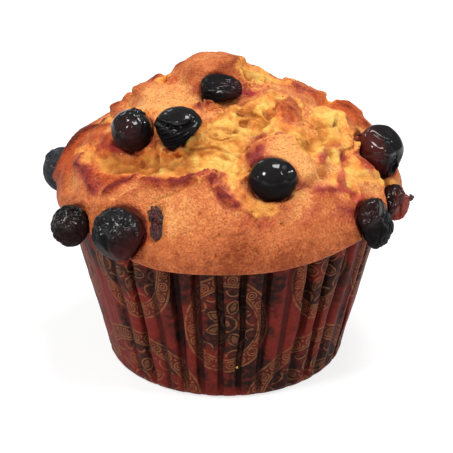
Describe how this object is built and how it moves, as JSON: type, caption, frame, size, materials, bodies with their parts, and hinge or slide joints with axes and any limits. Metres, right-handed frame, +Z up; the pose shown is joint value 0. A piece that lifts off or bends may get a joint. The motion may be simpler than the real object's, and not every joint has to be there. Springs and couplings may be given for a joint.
{
  "type": "berry muffin in a pleated paper cup",
  "caption": "Domed golden muffin with a torn crust and dark baked-in berries, swelling over the rim of a pleated, patterned paper baking cup.",
  "frame": {"origin": "centre of the flat underside of the paper cup, on the surface that the muffin stands on", "axes": "+Z up along the cup's axis, -Y towards the front that the picture shows, +X to its right"},
  "size_m": [0.0773, 0.0767, 0.0648],
  "materials": {
    "paper": "dark red and black printed paper with a thin gold pattern, slightly waxy",
    "cake": "golden brown baked crust with yellow torn crumb and purple juice stains",
    "berry": "near-black glossy baked berry skin",
    "burst_berry": "wet dark red burst berry"
  },
  "bodies": {
    "root": {"paper_cup": "paper", "cake": "cake", "berry_top": "berry", "berry_upper_left": "berry", "berry_upper_mid": "berry", "berry_centre": "berry", "berry_right": "berry", "berry_right_low": "berry", "berry_right_burst": "burst_berry", "berry_left": "berry", "berry_left_low": "berry", "berry_front_left": "berry", "berry_back_left": "berry", "berry_back_mid": "berry", "berry_back_low": "berry", "berry_back_right": "berry"}
  },
  "joints": []
}
